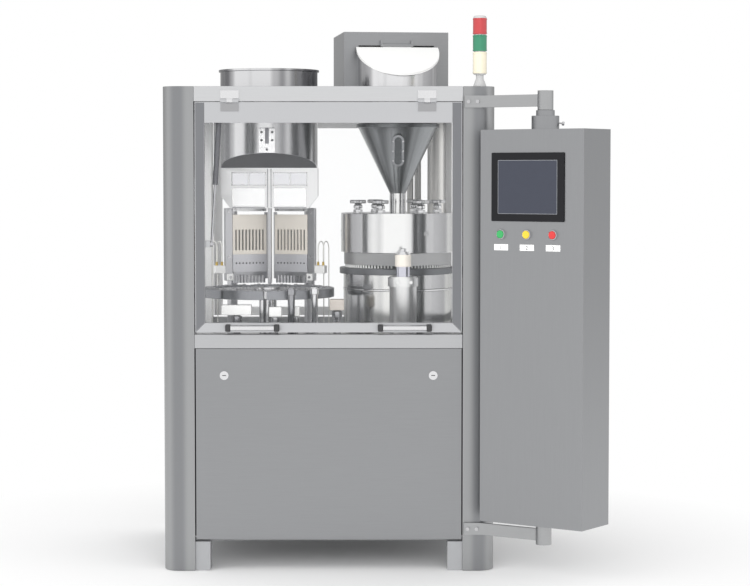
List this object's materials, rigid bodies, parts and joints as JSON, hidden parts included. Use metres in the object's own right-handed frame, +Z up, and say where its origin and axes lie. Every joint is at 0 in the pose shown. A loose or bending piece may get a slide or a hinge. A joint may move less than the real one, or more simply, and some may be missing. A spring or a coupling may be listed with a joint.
{
  "type": "capsule filler",
  "caption": "Floor-standing capsule filling machine with hinged windows, capsule and powder hoppers, turret, dosing unit and a swivelling control box.",
  "frame": {"origin": "middle of the four floor bolts, on the floor", "axes": "+Z up, the front window looks along -Y, +X to the right when seen from the front"},
  "size_m": [1.611, 1.3538, 2.012],
  "materials": {
    "pillar_steel": "vertical brushed",
    "light_steel": "fine brushed, light",
    "panel_steel": "fine brushed",
    "window_alloy": "satin",
    "bright_steel": "polished",
    "machined_alloy": "turned",
    "hopper_steel": "brushed round",
    "dark_metal": "satin dark",
    "grey_metal": "satin grey",
    "cast_grey": "painted casting",
    "cream_plastic": "moulded",
    "white_plastic": "moulded",
    "tube_plastic": "clear pale tube",
    "clear_pane": "clear sheet",
    "screen": "black bezel",
    "lamp": "stacked coloured lenses",
    "green": "gloss",
    "yellow": "gloss",
    "red": "gloss"
  },
  "bodies": {
    "machine_frame": {"base_frame": "cast_grey", "corner_pillars": "pillar_steel", "frame_rails": "light_steel", "roof_panel": "panel_steel", "deck_plate": "machined_alloy", "fixed_panels": "panel_steel", "window_hinges": "bright_steel", "capsule_hopper": "hopper_steel", "hopper_floor": "dark_metal", "feeder_plates": "bright_steel", "feed_box": "hopper_steel", "magazine_posts": "machined_alloy", "air_tubes": "tube_plastic", "station_posts": "bright_steel", "station_blocks": "white_plastic", "dosing_bowl": "machined_alloy", "post_tubes": "machined_alloy", "powder_cone": "hopper_steel", "cone_window": "clear_pane", "powder_cylinder": "hopper_steel", "hood": "panel_steel", "rear_pipes": "bright_steel", "signal_tower": "lamp", "arm_brackets": "light_steel", "drive_motor": "cast_grey", "drive_housings": "cast_grey"},
    "front_window": {"front_window_frame": "window_alloy", "front_window_pane": "clear_pane", "window_handles": "bright_steel"},
    "strut_rod": {"strut_rod": "bright_steel"},
    "strut_tube": {"strut_tube": "dark_metal"},
    "left_window": {"left_window": "window_alloy"},
    "right_window": {"right_window": "window_alloy"},
    "rear_window": {"rear_window": "window_alloy"},
    "front_panel": {"front_panel": "panel_steel"},
    "left_lock": {"left_lock": "bright_steel"},
    "right_lock": {"right_lock": "bright_steel"},
    "magazine": {"magazine_plates": "cream_plastic", "magazine_blocks": "grey_metal"},
    "combs": {"combs": "machined_alloy"},
    "turret": {"turret_disc": "machined_alloy", "turret_segments": "dark_metal"},
    "dosing_disc": {"dosing_disc": "dark_metal"},
    "camshaft": {"camshaft": "bright_steel"},
    "tamping_head": {"tamping_plate": "grey_metal", "tamping_head": "machined_alloy", "guide_rods": "cream_plastic"},
    "knob_1": {"knob_1": "bright_steel"},
    "knob_2": {"knob_2": "bright_steel"},
    "knob_3": {"knob_3": "bright_steel"},
    "knob_4": {"knob_4": "bright_steel"},
    "knob_5": {"knob_5": "bright_steel"},
    "knob_6": {"knob_6": "bright_steel"},
    "agitator": {"agitator": "bright_steel"},
    "loading_cover": {"loading_cover": "white_plastic"},
    "control_box": {"control_box": "panel_steel", "touch_screen": "screen"},
    "green_button": {"green_button": "green"},
    "yellow_button": {"yellow_button": "yellow"},
    "red_button": {"red_button": "red"}
  },
  "joints": [
    {"name": "front_window_hinge", "type": "hinge", "parent": "machine_frame", "child": "front_window", "pos_m": [0, -0.508, 1.702], "axis": [-1, 0, 0], "range_deg": [0, 70]},
    {"name": "strut_tilt", "type": "hinge", "parent": "front_window", "child": "strut_rod", "pos_m": [-0.425, -0.445, 1.186], "axis": [-1, 0, 0], "range_deg": [-4, 1]},
    {"name": "strut_slide", "type": "slide", "parent": "strut_rod", "child": "strut_tube", "axis": [0.0621, 0, 0.9981], "range_m": [0, 0.09]},
    {"name": "left_window_hinge", "type": "hinge", "parent": "machine_frame", "child": "left_window", "pos_m": [-0.608, 0, 1.702], "axis": [0, 1, 0], "range_deg": [0, 80]},
    {"name": "right_window_hinge", "type": "hinge", "parent": "machine_frame", "child": "right_window", "pos_m": [0.608, 0, 1.702], "axis": [0, -1, 0], "range_deg": [0, 80]},
    {"name": "rear_window_hinge", "type": "hinge", "parent": "machine_frame", "child": "rear_window", "pos_m": [0, 0.508, 1.702], "axis": [1, 0, 0], "range_deg": [0, 80]},
    {"name": "front_panel_tilt", "type": "hinge", "parent": "machine_frame", "child": "front_panel", "pos_m": [0, -0.49, 0.125], "axis": [1, 0, 0], "range_deg": [0, 20]},
    {"name": "left_lock_turn", "type": "hinge", "parent": "front_panel", "child": "left_lock", "pos_m": [-0.378, -0.48, 0.712], "axis": [0, -1, 0], "range_deg": [0, 90]},
    {"name": "right_lock_turn", "type": "hinge", "parent": "front_panel", "child": "right_lock", "pos_m": [0.378, -0.48, 0.712], "axis": [0, 1, 0], "range_deg": [0, 90]},
    {"name": "magazine_lift", "type": "slide", "parent": "machine_frame", "child": "magazine", "axis": [0, 0, 1], "range_m": [0, 0.012]},
    {"name": "comb_push", "type": "slide", "parent": "machine_frame", "child": "combs", "axis": [0, -1, 0], "range_m": [0, 0.01]},
    {"name": "turret_spin", "type": "hinge", "parent": "machine_frame", "child": "turret", "pos_m": [-0.235, -0.15, 0.9], "axis": [0, 0, 1], "continuous": true},
    {"name": "dosing_spin", "type": "hinge", "parent": "machine_frame", "child": "dosing_disc", "pos_m": [0.256, -0.02, 0.9], "axis": [0, 0, 1], "continuous": true},
    {"name": "camshaft_spin", "type": "hinge", "parent": "machine_frame", "child": "camshaft", "pos_m": [0, 0.2, 0.38], "axis": [1, 0, 0], "continuous": true},
    {"name": "tamping_slide", "type": "slide", "parent": "machine_frame", "child": "tamping_head", "axis": [0, 0, 1], "range_m": [0, 0.025]},
    {"name": "knob_1_turn", "type": "hinge", "parent": "tamping_head", "child": "knob_1", "pos_m": [0.40763, -0.0094, 1.33], "axis": [0, 0, 1], "continuous": true},
    {"name": "knob_2_turn", "type": "hinge", "parent": "tamping_head", "child": "knob_2", "pos_m": [0.32263, 0.11662, 1.33], "axis": [0, 0, 1], "continuous": true},
    {"name": "knob_3_turn", "type": "hinge", "parent": "tamping_head", "child": "knob_3", "pos_m": [0.171, 0.10601, 1.33], "axis": [0, 0, 1], "continuous": true},
    {"name": "knob_4_turn", "type": "hinge", "parent": "tamping_head", "child": "knob_4", "pos_m": [0.10437, -0.0306, 1.33], "axis": [0, 0, 1], "continuous": true},
    {"name": "knob_5_turn", "type": "hinge", "parent": "tamping_head", "child": "knob_5", "pos_m": [0.18937, -0.15662, 1.33], "axis": [0, 0, 1], "continuous": true},
    {"name": "knob_6_turn", "type": "hinge", "parent": "tamping_head", "child": "knob_6", "pos_m": [0.341, -0.14601, 1.33], "axis": [0, 0, 1], "continuous": true},
    {"name": "agitator_spin", "type": "hinge", "parent": "machine_frame", "child": "agitator", "pos_m": [0.256, -0.02, 1.6], "axis": [0, 0, 1], "continuous": true},
    {"name": "loading_cover_hinge", "type": "hinge", "parent": "machine_frame", "child": "loading_cover", "pos_m": [0.25283, 0.00581, 1.92875], "axis": [-0.9925, -0.1219, 0], "range_deg": [0, 95]},
    {"name": "control_box_swivel", "type": "hinge", "parent": "machine_frame", "child": "control_box", "pos_m": [0.769, -0.64, 0.9], "axis": [0, 0, 1], "range_deg": [-55, 60]},
    {"name": "green_button_press", "type": "slide", "parent": "control_box", "child": "green_button", "axis": [0.5736, 0.8192, 0], "range_m": [0, 0.004], "stiffness_N_per_m": 400},
    {"name": "yellow_button_press", "type": "slide", "parent": "control_box", "child": "yellow_button", "axis": [0.5736, 0.8192, 0], "range_m": [0, 0.004], "stiffness_N_per_m": 400},
    {"name": "red_button_press", "type": "slide", "parent": "control_box", "child": "red_button", "axis": [0.5736, 0.8192, 0], "range_m": [0, 0.004], "stiffness_N_per_m": 400}
  ],
  "couplings": [
    {"joint": "strut_tilt", "follows": "front_window_hinge", "ratio": -0.005276},
    {"joint": "strut_slide", "follows": "front_window_hinge", "m_per_rad": 0.071186},
    {"joint": "comb_push", "follows": "magazine_lift", "ratio": 0.83333},
    {"joint": "dosing_spin", "follows": "turret_spin", "ratio": 1.5},
    {"joint": "camshaft_spin", "follows": "turret_spin", "ratio": 9}
  ]
}
